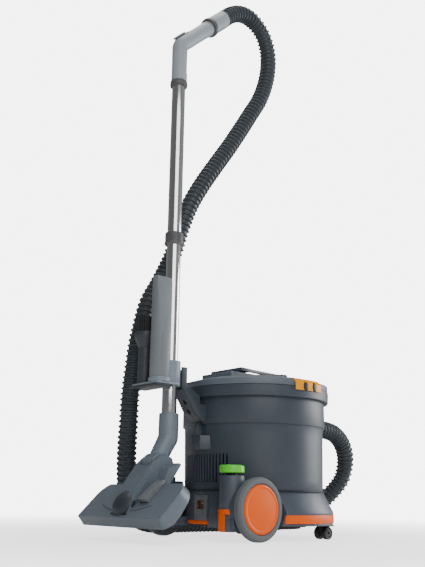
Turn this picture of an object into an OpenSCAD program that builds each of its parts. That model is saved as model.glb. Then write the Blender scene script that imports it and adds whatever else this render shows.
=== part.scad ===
// Canister vacuum cleaner: a round drum body on two rear wheels and two front
// casters, with its chrome wand and floor tool parked upright on the rear arm
// and its ribbed hose looped from the handle round the far side to the front
// inlet. Millimetres, Z up. +X is the front of the body, where the hose goes in.

/* [Body] */
// Outside diameter of the drum at its top, mm
drum_d = 320; // [290:5:360]
// Height of the drum from the chassis seam to the top of the rim, mm
drum_h = 220; // [190:5:260]
// Height of the chassis from its underside to the seam, mm
chassis_h = 70; // [62:1:84]
// Clearance of the chassis underside above the floor, mm
floor_gap = 30; // [28:1:40]
// How far the skirt stands out beyond the drum, mm
skirt_out = 19; // [17:1:26]
// How far the rim stands out beyond the drum, mm
rim_out = 15; // [12:1:20]
// Height of the rim band, mm
rim_h = 24; // [18:1:32]
// Height of the domed lid above the rim, mm
lid_h = 40; // [32:1:50]
// Number of exhaust slots in the rear of the drum
slot_count = 17; // [9:2:21]

/* [Wheels] */
// Diameter of the rear wheels, mm
wheel_d = 126; // [118:1:136]
// Width of the rear tyres, mm
wheel_w = 19; // [16:1:24]
// Distance of the rear axle in front of the drum's rear edge, mm
axle_in = 23; // [14:1:30]
// How far the outer faces of the rear tyres stand beyond the drum's sides, mm
wheel_out = 2.5; // [0:0.5:12]
// Diameter of the caster wheels, mm
caster_d = 27; // [22:1:27]
// Diameter of the foot buttons, mm
button_d = 52; // [44:1:54]

/* [Wand] */
// Outside diameter of the chrome tubes, mm
tube_d = 32; // [30:1:35]
// Distance of the wand axis behind the drum rim, mm
wand_out = 77; // [72:1:90]
// Height of the joint between the two tubes, mm
joint_z = 646; // [600:2:700]
// Height of the bottom of the handle, mm
grip_z = 1037; // [960:1:1080]
// Upward slope of the bent part of the handle, degrees
grip_tilt = 45.5; // [40:0.5:52]
// Outside diameter of the hose over its ribs, mm
hose_d = 45; // [40:1:48]

/* [Floor tool] */
// Width of the floor tool, mm
head_w = 274; // [240:2:300]
// Depth of the floor tool from front to back, mm
head_l = 100; // [90:1:110]
// Slope at which the parked floor tool hangs, degrees
head_tilt = 54; // [50:0.5:58]

/* [Fits] */
// Radial gap of pins and shafts that turn, mm
run_gap = 0.05; // [0.02:0.01:0.1]
// Gap between pieces that move past each other, mm
move_gap = 0.4; // [0.3:0.1:0.8]

/* [Hidden] */
fine = 96;
mid = 48;
small = 24;
eps = 0.01;

// levels
seam_z = floor_gap + chassis_h;
rim_top = seam_z + drum_h;
rim_z = rim_top - rim_h;
step_z = rim_z - 57;
lid_top = rim_top + lid_h;
// radii
wall = 4;
drum_r = drum_d / 2;
seam_r = drum_r - 3;
upper_r = drum_r + 4.5;
rim_r = drum_r + rim_out;
skirt_r = drum_r + skirt_out;
inner_r = drum_r - 8;
// orange strip
strip_z = floor_gap + 5;
strip_h = 17;
// wheels and pods
wheel_r = wheel_d / 2;
track = drum_d + 2 * wheel_out;
axle_x = axle_in - drum_r;
axle_z = wheel_r;
tyre_y = track / 2 - wheel_w;
well_y = tyre_y - 4;
hub_r = wheel_r - 14;
axle_r = 6;
button_r = button_d / 2;
pod_y = well_y - button_r - 2;
pod_x = axle_x - 35;
pod_base = 19.5;
pod_seat = floor_gap + 14;
pod_top = seam_z + 28;
button_travel = 5;
button_z = pod_top + button_travel + 0.5;
button_h = 16;
// casters
caster_r = caster_d / 2;
caster_x = drum_r * 0.61875;
caster_y = drum_r * 0.79375;
caster_trail = 9;
stem_r = 5;
// front inlet
inlet_z = rim_z - 43;
inlet_r = 23;
port_end = upper_r + 21;
cuff_end = port_end + 20;
hose_r = hose_d / 2;
// wand
wand_x = -(rim_r + wand_out);
tube_r = tube_d / 2;
tube_in = tube_r - 1.5;
hold = 0.02;
neck_z = 204;
neck_top = 255;
neck_r = tube_r + 5;
grip_r = tube_r + 2.5;
bend_z = grip_z + 115;
grip_len = 130;
cuff_len = 60;
grip_ring_z = 13;
lift = 50;
// holder and the two small tools
holder_z = rim_top - 8;
holder_floor = 4;
holder_ring_r = tube_r + 6.5;
crevice_r = 21.5;
crevice_x = -tube_r - 22;
crevice_y = -12;
crevice_h = 230;
brush_x = -tube_r - 22;
brush_y = 41;
brush_r = 15.5;
brush_head_r = 27;
// floor tool
head_half = head_l / 2;
pivot_u = head_half + 46;
pivot_n = 25;
pivot_x = wand_x - 32;
pivot_z = neck_z - 54;
neck_lean = atan2(wand_x - pivot_x, neck_z - pivot_z);
neck_len = norm([wand_x - pivot_x, neck_z - pivot_z]);
trunnion_r = neck_r;
trunnion_w = 2 * neck_r - 4;
neck_gap = 2 * neck_r - 2;
housing_w = neck_gap + 15.6;
pedal_y = -52;
pedal_w = 26;
pedal_u = 28;
pedal_n = 24;
// overall box, used to put the origin under the middle of the piece
front_reach = cuff_end;
rear_reach = -pivot_x + (head_half - 7 + pivot_u) * cos(head_tilt) +
  (38 - pivot_n) * sin(head_tilt);
drum_x = (rear_reach - front_reach) / 2;

// route of the hose: out of the inlet cuff and down to the floor, round the far
// side, then up behind the wand and over to the cuff of the handle
hose_end = grip_len + 12.03 + cuff_len;
grip_end = [wand_x + hose_end * cos(grip_tilt), 0, bend_z + hose_end * sin(grip_tilt)];
low_z = hose_r + 1;
front_route = [[0, 0, 1], [29.5, 0, 1.0087], [62.5, 2, 1.0044], [97.5, 6, 0.9739],
  [132.5, 12, 0.8867], [153.5, 18, 0.7516], [161.5, 28, 0.6166], [160.5, 40, 0.4858],
  [148.5, 62, 0.3508], [124.5, 90, 0.2113], [84.5, 125, 0.0806], [29.5, 162, 0.0109]];
side_route = [[170, 40], [100, 66], [20, 78], [-60, 78], [-130, 68]];
rear_route = [[67, 1.3, 48], [34, 1.1625, 90], [14, 1.0375, 140], [0, 0.925, 190],
  [-10, 0.825, 242], [-16, 0.7625, 300], [-15, 0.7125, 365], [-10, 0.675, 430],
  [6, 0.625, 512], [34, 0.5875, 570], [60, 0.525, 636], [70, 0.4, 708], [86, 0.3125, 770],
  [115, 0.25, 830], [154, 0.2125, 893], [202, 0.175, 968], [261, 0.125, 1069],
  [294, 0.0875, 1130], [314, 0.05, 1200], [314, 0.01875, 1266], [292, 0, 1316],
  [252, 0, 1345], [210, 0, 1346], [172, 0, 1326]];
route = concat(
  [for (p = front_route) [cuff_end + p[0], p[1], low_z + (inlet_z - low_z) * p[2]]],
  [for (p = side_route) [p[0], drum_r + p[1], p[0] < -100 ? low_z + 3.5 : low_z]],
  [for (p = rear_route) [wand_x + p[0], drum_r * p[1], p[2] * bend_z / 1152]],
  [grip_end]);

// places the whole piece so that its middle is over the origin
module place() { translate([drum_x, 0, 0]) children(); }
// copies a piece to the far side
module far() { mirror([0, 1, 0]) children(); }
// a disc or bar with its axis along Y, from y0 to y1
module along_y(r, y0, y1, fn = fine) {
  translate([0, y0, 0]) rotate([-90, 0, 0]) cylinder(h = y1 - y0, r = r, $fn = fn);
}
// a disc or bar with its axis along X, from x0 to x1
module along_x(r, x0, x1, fn = fine) {
  translate([x0, 0, 0]) rotate([0, 90, 0]) cylinder(h = x1 - x0, r = r, $fn = fn);
}
// a box given by its two opposite corners
module box(a, b) { translate(a) cube(b - a); }
// a flat ring standing on z
module ring(ro, ri, h, fn = fine) {
  difference() {
    cylinder(h = h, r = ro, $fn = fn);
    translate([0, 0, -1]) cylinder(h = h + 2, r = ri, $fn = fn);
  }
}
// a side profile in X and Z, widened evenly to both sides of Y = 0
module side_plate(points, w) {
  translate([0, w / 2, 0]) rotate([90, 0, 0]) linear_extrude(height = w) polygon(points);
}
// the same profile centred on another y
module side_plate_at(y, points, w) { translate([0, y, 0]) side_plate(points, w); }
// a wedge about Z, used to cut sectors; half is under 90 degrees
module sector(mid_angle, half, r, z0, z1) {
  rotate([0, 0, mid_angle]) translate([0, 0, z0]) linear_extrude(height = z1 - z0)
    polygon([[0, 0], [r * cos(half), -r * sin(half)], [r * 1.2, 0], [r * cos(half), r * sin(half)]]);
}
// frame of the wand: origin on the floor under the wand axis
module wand() { place() translate([wand_x, 0, 0]) children(); }
// frame of the bent handle: X runs up the slope from the bend
module grip() { wand() translate([0, 0, bend_z]) rotate([0, -grip_tilt, 0]) children(); }
// frame of the floor tool: origin on its sole, X to its back, Z away from the sole
module head() {
  place() translate([pivot_x, 0, pivot_z]) rotate([0, -head_tilt, 0])
    translate([-pivot_u, 0, -pivot_n]) children();
}
// rear wheel frame: Y axis is the axle
module axle() { place() translate([axle_x, 0, axle_z]) children(); }

// ---- body ----

module skirt_profile() {
  polygon([[inner_r, floor_gap], [skirt_r - 1.5, floor_gap], [skirt_r - 1.5, strip_z],
    [skirt_r - 3.5, strip_z], [skirt_r - 3.5, strip_z + strip_h],
    [skirt_r, strip_z + strip_h], [skirt_r, strip_z + strip_h + 5], [seam_r, seam_z],
    [inner_r, seam_z]]);
}
// one side of the rear: inner wheel cover and the ledge that carries the pod
module wheel_cover() {
  translate([axle_x, 0, axle_z]) along_y(wheel_r - 6, -well_y, -well_y + 39);
  box([pod_x - 20, -well_y, floor_gap - 4], [-90, -60, pod_seat]);
  translate([pod_x, -pod_y, pod_base]) cylinder(h = pod_seat - pod_base, r = button_r, $fn = fine);
}
module wheel_cuts() {
  translate([axle_x, 0, axle_z]) {
    along_y(axle_r + run_gap, -track / 2, -30, small);
    along_y(wheel_r + 6, -track, -well_y);
  }
  translate([pod_x, -pod_y, 0]) {
    translate([0, 0, pod_seat]) cylinder(h = 200, r = button_r + 0.3, $fn = fine);
    translate([0, 0, strip_z + 17.8]) cylinder(h = 9.9, r = button_r + 1.6, $fn = fine);
  }
  band_cut();
}
// seat of the upright orange band on the pod and on the ledge below it
module band_cut() {
  translate([pod_x, -pod_y, 0]) intersection() {
    translate([0, 0, pod_base - 1]) ring(button_r + 1.6, button_r - 0.5, strip_z + 20 - pod_base);
    sector(140, 32.5, 60, 0, 100);
  }
}
module caster_hole() {
  translate([caster_x, -caster_y, floor_gap - 1]) cylinder(h = 27, r = stem_r + run_gap, $fn = small);
}
module chassis() {
  color("dimgray") place() difference() {
    union() {
      translate([0, 0, floor_gap]) cylinder(h = chassis_h, r = seam_r, $fn = fine);
      intersection() {
        rotate_extrude($fn = fine) skirt_profile();
        box([-(drum_r * 0.71), -400, 0], [400, 400, 300]);
      }
      wheel_cover();
      far() wheel_cover();
    }
    translate([0, 0, floor_gap + wall]) cylinder(h = chassis_h, r = inner_r, $fn = fine);
    translate([0, 0, seam_z]) cylinder(h = 100, r = drum_r + 0.6, $fn = fine);
    box([-400, -400, 0], [400, 400, pod_base]);
    cylinder(h = floor_gap, r = plate_r + move_gap, $fn = fine);
    box([axle_x - 80, -well_y - 1, pod_base - 10], [pod_x - 60, -60, floor_gap]);
    wheel_cuts();
    far() wheel_cuts();
    caster_hole();
    far() caster_hole();
    // rear strip seat and inlet window
    difference() {
      box([-400, -52, floor_gap - 1], [-100, 52, floor_gap + 8]);
      cylinder(h = 100, r = seam_r - 2.5, $fn = fine);
    }
    box([-seam_r - 13, -19.7, floor_gap + 8], [-inner_r + 5, 19.7, seam_z - 10]);
    for (a = [30, 150, 210, 330]) rotate([0, 0, a])
      translate([112, 0, floor_gap - 1]) cylinder(h = 6, r = 2.1, $fn = small);
  }
}
module pod_band() {
  translate([pod_x, -pod_y, 0]) {
    translate([0, 0, strip_z + 18]) ring(button_r + 1.4, button_r - 0.9, 9.5);
    intersection() {
      translate([0, 0, pod_base]) ring(button_r + 1.4, button_r - 0.45, strip_z + 19 - pod_base);
      sector(140, 32, 60, 0, 100);
    }
  }
}
module bumper_strip() {
  color("darkorange") place() {
    difference() {
      translate([0, 0, strip_z]) intersection() {
        ring(skirt_r + 0.6, skirt_r - 3.3, strip_h - 0.2);
        box([axle_x + wheel_r + 3, -400, -5], [400, 400, 300]);
      }
      translate([axle_x, 0, axle_z]) {
        along_y(wheel_r + 6, -track, -well_y);
        along_y(wheel_r + 6, well_y, track);
      }
    }
    intersection() {
      translate([0, 0, floor_gap]) ring(seam_r + 1, seam_r - 2.3, 7.8);
      box([-400, -51.8, 0], [-100, 51.8, 100]);
    }
    pod_band();
    far() pod_band();
  }
}
plate_r = 118;
module base_plate() {
  color("black") place() difference() {
    union() {
      translate([0, 0, floor_gap - 5]) cylinder(h = 5, r = plate_r, $fn = fine);
      translate([0, 0, floor_gap - 9]) ring(105, 96, 5);
      for (s = [-1, 1]) translate([-20, s * 92, floor_gap - 9])
        cylinder(h = 5, r = 14, $fn = mid);
    }
    for (a = [30, 150, 210, 330]) rotate([0, 0, a]) translate([112, 0, 0])
      cylinder(h = 60, r = 2.1, $fn = small);
    for (i = [-4:4]) box([-60, i * 12 - 2.5, 0], [60, i * 12 + 2.5, 60]);
  }
}
module chassis_screws() {
  color("silver") place() for (a = [30, 150, 210, 330]) rotate([0, 0, a])
    translate([112, 0, floor_gap - 7]) {
      cylinder(h = 2, r = 4, $fn = mid);
      cylinder(h = 10, r = 2, $fn = small);
    }
}
module drum() {
  color("dimgray") place() difference() {
    union() {
      translate([0, 0, seam_z]) cylinder(h = step_z - seam_z, r1 = seam_r, r2 = drum_r, $fn = fine);
      translate([0, 0, step_z]) cylinder(h = rim_top - 2 - step_z, r = upper_r, $fn = fine);
    }
    translate([0, 0, seam_z - 1]) cylinder(h = 66, r = inner_r, $fn = fine);
    translate([0, 0, seam_z]) cylinder(h = 100, r = inner_r - 7, $fn = fine);
    translate([0, 0, seam_z + 70]) cylinder(h = 300, r = inner_r, $fn = fine);
    translate([0, 0, step_z + 5]) cylinder(h = 300, r = upper_r - wall, $fn = fine);
    translate([0, 0, inlet_z]) along_x(inlet_r + 4.2, 100, 200);
    for (i = [0 : slot_count - 1])
      rotate([0, 0, 180 + (i - (slot_count - 1) / 2) * 3.05])
        box([inner_r - 20, -2.1, seam_z + 16], [drum_r + 5, 2.1, seam_z + 75]);
  }
}
module drum_rim() {
  color("dimgray") place() translate([0, 0, rim_z]) difference() {
    cylinder(h = rim_h, r1 = rim_r - 1, r2 = rim_r, $fn = fine);
    translate([0, 0, -1]) cylinder(h = rim_h - 1, r = upper_r, $fn = fine);
    cylinder(h = rim_h + 1, r = upper_r - wall, $fn = fine);
  }
}
module inlet_port() {
  color("dimgray") place() translate([0, 0, inlet_z]) difference() {
    union() {
      along_x(inlet_r + 4, inner_r - 12, port_end);
      difference() {
        along_x(inlet_r + 9, inner_r, port_end - 12);
        translate([0, 0, -100]) cylinder(h = 200, r = upper_r, $fn = fine);
      }
    }
    along_x(inlet_r, 100, 300);
  }
}
module inlet_cuff() {
  color("dimgray") place() translate([0, 0, inlet_z]) difference() {
    union() {
      along_x(inlet_r - hold, inner_r + 4, port_end + 1);
      along_x(hose_r + 2.5, port_end, cuff_end);
    }
    along_x(inlet_r - 5, 100, 300);
  }
}

// ---- rear arm that the wand hangs on ----

arm_top = rim_top + 35;
bar_x = wand_x + holder_ring_r + 2;
arm_side = [[bar_x - 6, arm_top], [bar_x + 8, arm_top], [bar_x + 8, rim_top - 2],
  [-rim_r - 7, rim_z + 1], [-rim_r - 7, rim_z - 16], [-inner_r, rim_z - 16], [-inner_r, step_z + 5],
  [-upper_r - 8, step_z + 4], [-rim_r - 22, step_z + 23], [-rim_r - 36, rim_z - 12],
  [bar_x - 6, rim_top - 6]];
module park_arm() {
  color("dimgray") place() difference() {
    union() {
      for (s = [-1, 1]) translate([0, s * 17, 0]) side_plate(arm_side, 4);
      // crossbar that takes the hook, and the web behind it
      box([bar_x, -16, rim_top - 14], [bar_x + 3, 16, rim_top + 23]);
      side_plate([[bar_x - 1, rim_top - 12], [bar_x + 8, rim_top - 12], [-rim_r - 28, rim_z - 8],
        [-rim_r - 16, step_z + 25], [-upper_r - 3, step_z + 14], [-upper_r - 8, step_z + 4],
        [-rim_r - 22, step_z + 23], [-rim_r - 36, rim_z - 12]], 32);
    }
    cylinder(h = 600, r = upper_r, $fn = fine);
    for (z = [rim_z - 14, step_z + 24]) translate([-rim_r - 26, 0, z]) along_x(5, -30, 40, small);
  }
}
module park_block() {
  block_x = -seam_r - 18;
  color("dimgray") place() difference() {
    union() {
      translate([0, 0, step_z - 55]) linear_extrude(height = 30)
        polygon([[block_x, -13.5], [block_x, 13.5], [-drum_r + 4, 27], [-drum_r + 20, 27],
          [-drum_r + 20, -27], [-drum_r + 4, -27]]);
      side_plate([[-upper_r - 8, step_z + 2], [-upper_r - 14, step_z - 12], [-upper_r - 8, step_z - 26],
        [-drum_r + 20, step_z - 26], [-drum_r + 20, step_z], [-upper_r, step_z],
        [-upper_r, step_z + 2]], 6);
    }
    translate([0, 0, seam_z]) cylinder(h = step_z - seam_z, r1 = seam_r, r2 = drum_r, $fn = fine);
    translate([0, 0, step_z - 0.01]) cylinder(h = 20, r = upper_r, $fn = fine);
  }
}
module mains_inlet() {
  color("gray") place() difference() {
    box([-seam_r - 3, -19.5, floor_gap + 8], [-inner_r + 4, 19.5, seam_z - 10.2]);
    box([-seam_r - 5, -11, floor_gap + 31], [-inner_r + 1, 11, floor_gap + 49]);
  }
}
module mains_pins() {
  color("gold") place() for (p = [[-6, 37], [6, 37], [0, 43]])
    translate([0, p[0], floor_gap + p[1]]) along_x(1.6, -seam_r + 2.5, -inner_r + 1, small);
}
module pod() {
  difference() {
    translate([pod_x, -pod_y, pod_seat]) cylinder(h = pod_top - pod_seat, r = button_r, $fn = fine);
    translate([pod_x, -pod_y, pod_top - 34]) cylinder(h = 60, r = 12 + run_gap, $fn = mid);
    translate([pod_x, -pod_y, pod_top - 6]) ring(button_r - 4, 15, 10);
    translate([pod_x, -pod_y, strip_z + 18]) ring(button_r + 5, button_r - 1, 9.6);
    band_cut();
  }
}
module pod_right() { color("dimgray") place() pod(); }
module pod_left() { color("dimgray") place() far() pod(); }
module rear_axle() {
  color("silver") axle() along_y(axle_r, -track / 2 + 3, track / 2 - 3, small);
}

// ---- inside the drum ----

motor_r = 70;
motor_top = seam_z + 52;
module motor_housing() {
  color("dimgray") place() difference() {
    translate([0, 0, floor_gap + wall]) cylinder(h = motor_top - floor_gap - wall, r = motor_r, $fn = fine);
    translate([0, 0, floor_gap + wall + 4]) cylinder(h = motor_top - floor_gap - 12, r = motor_r - 4, $fn = fine);
    translate([0, 0, motor_top - 10]) cylinder(h = 20, r = 24, $fn = mid);
  }
}
module motor_body() {
  color("silver") place() difference() {
    union() {
      translate([0, 0, floor_gap + 8]) cylinder(h = 50, r = 44, $fn = fine);
      translate([0, 0, floor_gap + 58]) cylinder(h = 26, r = 56, $fn = fine);
    }
    translate([0, 0, floor_gap + 30]) cylinder(h = 100, r = 4 + run_gap, $fn = small);
  }
}
module impeller() {
  color("silver") place() difference() {
    union() {
      translate([0, 0, floor_gap + 40]) cylinder(h = 66, r = 4, $fn = small);
      translate([0, 0, floor_gap + 86]) cylinder(h = 2, r = 52, $fn = fine);
      translate([0, 0, floor_gap + 86]) cylinder(h = 16, r = 12, $fn = mid);
      for (i = [0 : 8]) rotate([0, 0, i * 40]) translate([10, 0, floor_gap + 87])
        rotate([0, 0, 25]) box([0, -0.8, 0], [36, 0.8, 12]);
    }
  }
}
module filter_plate() {
  color("dimgray") place() translate([0, 0, seam_z + 70]) difference() {
    cylinder(h = 4, r = inner_r - 0.3, $fn = fine);
    for (i = [-4:4]) box([-50, i * 12 - 4, -1], [50, i * 12 + 4, 6]);
  }
}
module motor_filter() {
  color("white") place() translate([0, 0, seam_z + 74]) cylinder(h = 8, r = 72, $fn = fine);
}
bag_front = inner_r - 15;
module dust_bag() {
  bag_z = seam_z + 83;
  bag_h = rim_top - 25 - bag_z;
  bag_r = inner_r - 12;
  color("wheat") place() intersection() {
    translate([0, 0, bag_z]) rotate_extrude($fn = fine)
      polygon([[0, 0], [bag_r - 22, 0], [bag_r - 10, 6], [bag_r - 2, 20], [bag_r, bag_h * 0.36],
        [bag_r, bag_h * 0.68], [bag_r - 4, bag_h - 18], [bag_r - 16, bag_h - 6],
        [bag_r - 36, bag_h], [0, bag_h]]);
    box([-300, -300, 0], [bag_front, 300, 600]);
  }
}
module bag_collar() {
  color("tan") place() difference() {
    box([bag_front, -42, inlet_z - 38], [bag_front + 3, 42, inlet_z + 38]);
    translate([0, 0, inlet_z]) along_x(inlet_r, 100, 200);
  }
}

// ---- lid ----

lid_r = rim_r - 1.5;
dome_r = (lid_r * lid_r + 26 * 26) / 52;
module dome(drop) {
  translate([0, 0, lid_top - dome_r - drop]) sphere(r = dome_r, $fn = 200);
}
latch_half = 13.5;
latch_pr = rim_r - 24;
latch_pz = rim_top + 13.5;
latch_pin = latch_pr * sin(latch_half) + 5.8;
handle_px = 45;
handle_pz = lid_top + 2;
module lid() {
  color("dimgray") place() difference() {
    union() {
      intersection() {
        translate([0, 0, rim_top + 0.5]) cylinder(h = lid_h, r = lid_r, $fn = fine);
        dome(0);
      }
      translate([0, 0, rim_top - 12]) ring(upper_r - wall - 0.5, upper_r - wall - 4, 14);
      for (s = [-1, 1]) box([handle_px - 8, s * 56 - 4.5, lid_top - 12], [handle_px + 8, s * 56 + 4.5, lid_top + 6]);
    }
    intersection() {
      translate([0, 0, rim_top - 1]) cylinder(h = lid_h, r = upper_r - wall - 4, $fn = fine);
      dome(19);
    }
    translate([0, 0, rim_top]) ring(169.5 - 175 + rim_r, 164 - 175 + rim_r, 2.5);
    for (s = [-1, 1]) translate([0, s * latch_pr, latch_pz]) along_x(1.5 + run_gap, -latch_pin - 1, latch_pin + 1, small);
    for (a = [90, 270]) intersection() {
      translate([0, 0, rim_top + 8]) ring(300, rim_r - 29.5, 60);
      sector(a, latch_half + 0.5, 300, 0, 600);
    }
    // finger well under the grip of the carry handle
    box([-104, -31, lid_top - 15], [-50, 31, lid_top + 10]);
    translate([handle_px, 0, handle_pz]) along_y(3 + run_gap, -70, 70, small);
  }
}
module lid_seal() {
  color("black") place() translate([0, 0, rim_top]) ring(169.3 - 175 + rim_r, 164.2 - 175 + rim_r, 2.5);
}
module carry_handle() {
  color("dimgray") place() translate([handle_px, 0, handle_pz]) rotate([0, 1.2, 0]) {
    for (s = [-1, 1]) box([-128, s * 46.5 - 4.5, -3], [3.5, s * 46.5 + 4.5, 3.5]);
    box([-134, -51, -3.5], [-104, 51, 4]);
    for (s = [-1, 1]) along_y(3, s > 0 ? 50 : -60, s > 0 ? 60 : -50, small);
  }
}
module latch() {
  translate([0, -latch_pr, latch_pz]) along_x(1.5, -latch_pin, latch_pin, small);
  intersection() {
    rotate_extrude($fn = fine) polygon([[latch_pr - 3, rim_top + 10], [latch_pr - 3, rim_top + 17],
      [latch_pr + 2, rim_top + 21], [rim_r - 5, rim_top + 17], [rim_r + 2.6, rim_top + 8],
      [rim_r + 3, rim_top - 8], [rim_r + move_gap, rim_top - 8], [rim_r + move_gap, rim_top + 4],
      [rim_r - 1, rim_top + 9]]);
    difference() {
      sector(270, latch_half, 300, 0, 600);
      for (a = [-4.6, 4.6]) rotate([0, 0, 270 + a])
        box([rim_r - 12, -5, rim_top - 30], [300, 5, rim_top + 11]);
      // flat back, so that the ends of the bow clear the pocket when it swings
      box([-100, 2.5 - latch_pr, 0], [100, 300, 600]);
    }
  }
}
module latch_right() { color("orange") place() latch(); }
module latch_left() { color("orange") place() far() latch(); }

// ---- buttons, wheels, casters ----

module foot_button() {
  translate([pod_x, -pod_y, 0]) {
    translate([0, 0, button_z]) cylinder(h = button_h, r = button_r, $fn = fine);
    translate([0, 0, pod_top - 26]) cylinder(h = 40, r = 12, $fn = mid);
  }
}
module foot_button_right() { color("limegreen") place() foot_button(); }
module foot_button_left() { color("darkorange") place() far() foot_button(); }
module tyre() {
  difference() {
    union() {
      along_y(wheel_r, -track / 2 + 2.5, -tyre_y);
      translate([0, -track / 2, 0]) rotate([-90, 0, 0]) cylinder(h = 2.5, r1 = wheel_r - 3, r2 = wheel_r, $fn = fine);
    }
    along_y(hub_r, -track, -tyre_y - wheel_w / 3);
    along_y(hub_r - 10, -track, 0);
  }
}
module hub() {
  difference() {
    union() {
      along_y(hub_r, -track / 2 + 1, -tyre_y - wheel_w / 3);
      translate([0, -track / 2 - 3, 0]) rotate([-90, 0, 0]) cylinder(h = 4.1, r1 = hub_r - 8, r2 = hub_r - 1, $fn = fine);
      along_y(hub_r - 10, -tyre_y - wheel_w / 2, -tyre_y);
      along_y(14, -tyre_y - 1, -well_y - move_gap, mid);
    }
    along_y(axle_r + run_gap, -track / 2 + 3, 0, small);
  }
}
module tyre_right() { color("gray") axle() tyre(); }
module tyre_left() { color("gray") axle() far() tyre(); }
module hub_right() { color("darkorange") axle() hub(); }
module hub_left() { color("darkorange") axle() far() hub(); }
module caster_hood() {
  translate([caster_x, -caster_y, 0]) difference() {
    union() {
      translate([0, 0, floor_gap - 2.4]) cylinder(h = 2, r = 19, $fn = mid);
      translate([0, 0, floor_gap - 1]) cylinder(h = 24, r = stem_r, $fn = small);
      box([-caster_trail - 9, -4, caster_r - 6], [9, 4, floor_gap - 1]);
    }
    translate([-caster_trail, 0, caster_r]) along_y(3 + run_gap, -10, 10, small);
  }
}
module caster_wheels() {
  translate([caster_x - caster_trail, -caster_y, caster_r]) {
    along_y(3, -10, 10, small);
    for (s = [-1, 1]) along_y(caster_r, s > 0 ? 4.6 : -16.6, s > 0 ? 16.6 : -4.6, mid);
  }
}
module caster_hood_right() { color("black") place() caster_hood(); }
module caster_hood_left() { color("black") place() far() caster_hood(); }
module caster_wheels_right() { color("black") place() caster_wheels(); }
module caster_wheels_left() { color("black") place() far() caster_wheels(); }

// ---- wand ----

module lower_tube() {
  color("silver") wand() difference() {
    translate([0, 0, neck_z + 3]) cylinder(h = joint_z - neck_z - 3, r = tube_r, $fn = fine);
    translate([0, 0, neck_z]) cylinder(h = 600, r = tube_in, $fn = fine);
    translate([0, 0, joint_z - 25]) along_x(3.8, 0, 40, small);
  }
}
module upper_tube() {
  color("silver") wand() difference() {
    union() {
      translate([0, 0, joint_z]) cylinder(h = grip_z + 30 - joint_z, r = tube_r, $fn = fine);
      translate([0, 0, joint_z - 40]) cylinder(h = 41, r = tube_in - 0.1, $fn = fine);
    }
    translate([0, 0, joint_z - 50]) cylinder(h = 900, r = tube_in - 1.5, $fn = fine);
    translate([0, 0, joint_z - 25]) along_x(3.8, 0, 40, small);
  }
}
module tube_collar() {
  color("dimgray") wand() translate([0, 0, joint_z - 13]) difference() {
    union() {
      cylinder(h = 27, r = tube_r + 5, $fn = fine);
      cylinder(h = 3, r = tube_r + 6, $fn = fine);
    }
    translate([0, 0, -1]) cylinder(h = 40, r = tube_r + hold, $fn = fine);
  }
}
module tube_button() {
  color("silver") wand() translate([0, 0, joint_z - 25]) {
    along_x(3.4, tube_r - 4.5, tube_r + 2, small);
  }
}
module handle_grip() {
  color("lightslategray") {
    difference() {
      union() {
        wand() translate([0, 0, grip_z + grip_ring_z]) cylinder(h = bend_z - grip_z - grip_ring_z, r = grip_r, $fn = fine);
        grip() sphere(r = grip_r + 0.95, $fn = fine);
        grip() along_x(grip_r + 0.5, 0, grip_len);
        grip() box([2, -8, 0], [50, 8, grip_r + 1]);
      }
      wand() translate([0, 0, grip_z]) cylinder(h = 30.2, r = tube_r + hold, $fn = fine);
      wand() translate([0, 0, grip_z]) cylinder(h = bend_z - grip_z, r = tube_in, $fn = fine);
      grip() sphere(r = tube_in + 0.6, $fn = fine);
      grip() along_x(tube_in, 0, 300);
      wand() box([tube_r + 0.6, -6.4, grip_z + 15.6], [40, 6.4, grip_z + 43.4]);
    }
  }
}
module handle_ring() {
  color("dimgray") wand() translate([0, 0, grip_z]) ring(grip_r + 2.8, tube_r + hold, grip_ring_z);
}
module handle_button() {
  color("lightslategray") wand() intersection() {
    box([tube_r + 2, -6, grip_z + 16], [tube_r + 9, 6, grip_z + 43]);
    cylinder(h = 2000, r = grip_r + 3, $fn = fine);
  }
}
module suction_slider() {
  color("lightslategray") grip() {
    box([0, -8, grip_r + 1], [34, 8, grip_r + 5]);
    box([-2, -7, grip_r + 1], [0, 7, grip_r + 3.4]);
  }
}
module hose_cuff() {
  color("lightslategray") grip() difference() {
    union() {
      along_x(grip_r + 6.5, grip_len + move_gap, grip_len + 12);
      along_x(hose_r, grip_len + 12, grip_len + 12 + cuff_len);
      along_x(tube_in - run_gap, grip_len - 24, grip_len + 12);
    }
    along_x(tube_in - 3, 0, 300);
  }
}

// the hose is swept along its route as one closed tube
sides = 10;
function unit(v) = v / norm(v);
function route_at(i) = route[max(0, min(len(route) - 1, i))];
function spline(i, t) = let (a = route_at(i - 1), b = route_at(i), c = route_at(i + 1), d = route_at(i + 2))
  0.5 * (2 * b + (c - a) * t + (2 * a - 5 * b + 4 * c - d) * t * t + (3 * b - a - 3 * c + d) * t * t * t);
path = [for (k = [0 : 2 * (len(route) - 1)]) spline(floor(k / 2), k % 2 == 0 ? 0 : 0.5)];
function lead(i) = i == 0 ? [1, 0, 0] : i == len(path) - 1 ? [-cos(grip_tilt), 0, -sin(grip_tilt)] :
  unit(path[i + 1] - path[i - 1]);
function carry(i, n) = i >= len(path) ? [] :
  let (m = unit(n - (n * lead(i)) * lead(i))) concat([m], carry(i + 1, m));
normals = carry(0, [0, 0, 1]);
function ring_at(i) = let (n = normals[i], b = cross(lead(i), n))
  [for (s = [0 : sides - 1]) path[i] + hose_r * (cos(360 * s / sides) * n + sin(360 * s / sides) * b)];
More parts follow.
